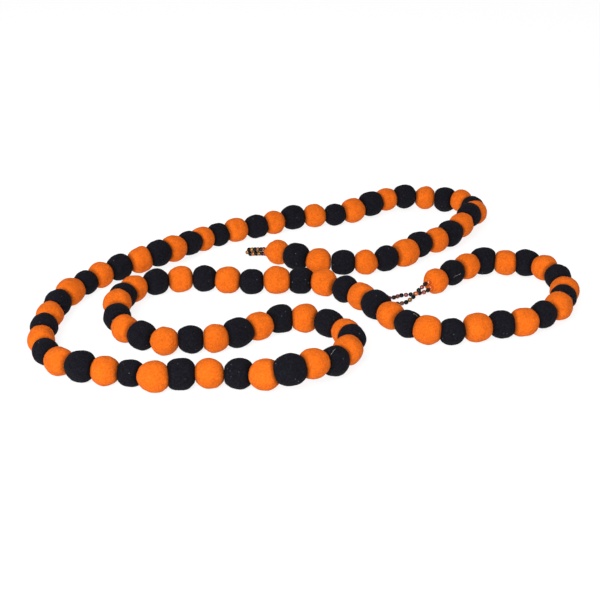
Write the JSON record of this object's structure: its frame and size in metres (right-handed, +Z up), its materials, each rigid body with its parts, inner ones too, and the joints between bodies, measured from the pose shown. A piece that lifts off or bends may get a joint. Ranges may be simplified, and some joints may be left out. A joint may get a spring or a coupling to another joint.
{
  "type": "felt ball garland",
  "caption": "Orange and black wool felt balls strung in turn on one thread, laid in loose bends, with a beaded hanging loop at each end.",
  "frame": {"origin": "on the table, under the middle of the laid garland's box", "axes": "+X along the layout's longest side, +Z up from the table"},
  "size_m": [0.4978, 0.4423, 0.0357],
  "materials": {
    "orange_felt": "matt wool felt, bright orange, short fibres on its surface",
    "black_felt": "matt wool felt, blue-black, short fibres and a few pale ones on its surface",
    "bead_glass": "glossy seed beads, black and copper in turn"
  },
  "bodies": {
    "root": {"balls_01": "orange_felt", "balls_02": "orange_felt", "balls_03": "orange_felt", "balls_04": "orange_felt", "balls_05": "orange_felt", "balls_06": "orange_felt", "balls_07": "orange_felt", "balls_08": "orange_felt", "balls_09": "orange_felt", "balls_10": "orange_felt", "balls_11": "orange_felt", "balls_12": "orange_felt", "balls_13": "orange_felt", "balls_14": "orange_felt", "balls_15": "orange_felt", "balls_16": "orange_felt", "balls_17": "orange_felt", "balls_18": "orange_felt", "balls_19": "orange_felt", "balls_20": "orange_felt", "balls_21": "orange_felt", "balls_22": "orange_felt", "balls_23": "orange_felt", "balls_24": "orange_felt", "balls_25": "orange_felt", "balls_26": "orange_felt", "balls_27": "orange_felt", "balls_28": "orange_felt", "balls_29": "orange_felt", "balls_30": "orange_felt", "balls_31": "orange_felt", "balls_32": "orange_felt", "balls_33": "orange_felt", "balls_34": "orange_felt", "balls_35": "orange_felt", "balls_36": "orange_felt", "balls_37": "orange_felt", "balls_38": "orange_felt", "balls_39": "orange_felt", "balls_40": "orange_felt", "balls_41": "orange_felt", "balls_42": "orange_felt", "balls_43": "orange_felt", "balls_44": "orange_felt", "balls_45": "orange_felt", "balls_46": "orange_felt", "balls_47": "orange_felt", "balls_48": "orange_felt", "balls_49": "orange_felt", "balls_50": "orange_felt", "ball_last": "orange_felt", "bead_loop_short": "bead_glass", "bead_loop_open": "bead_glass"}
  },
  "joints": []
}
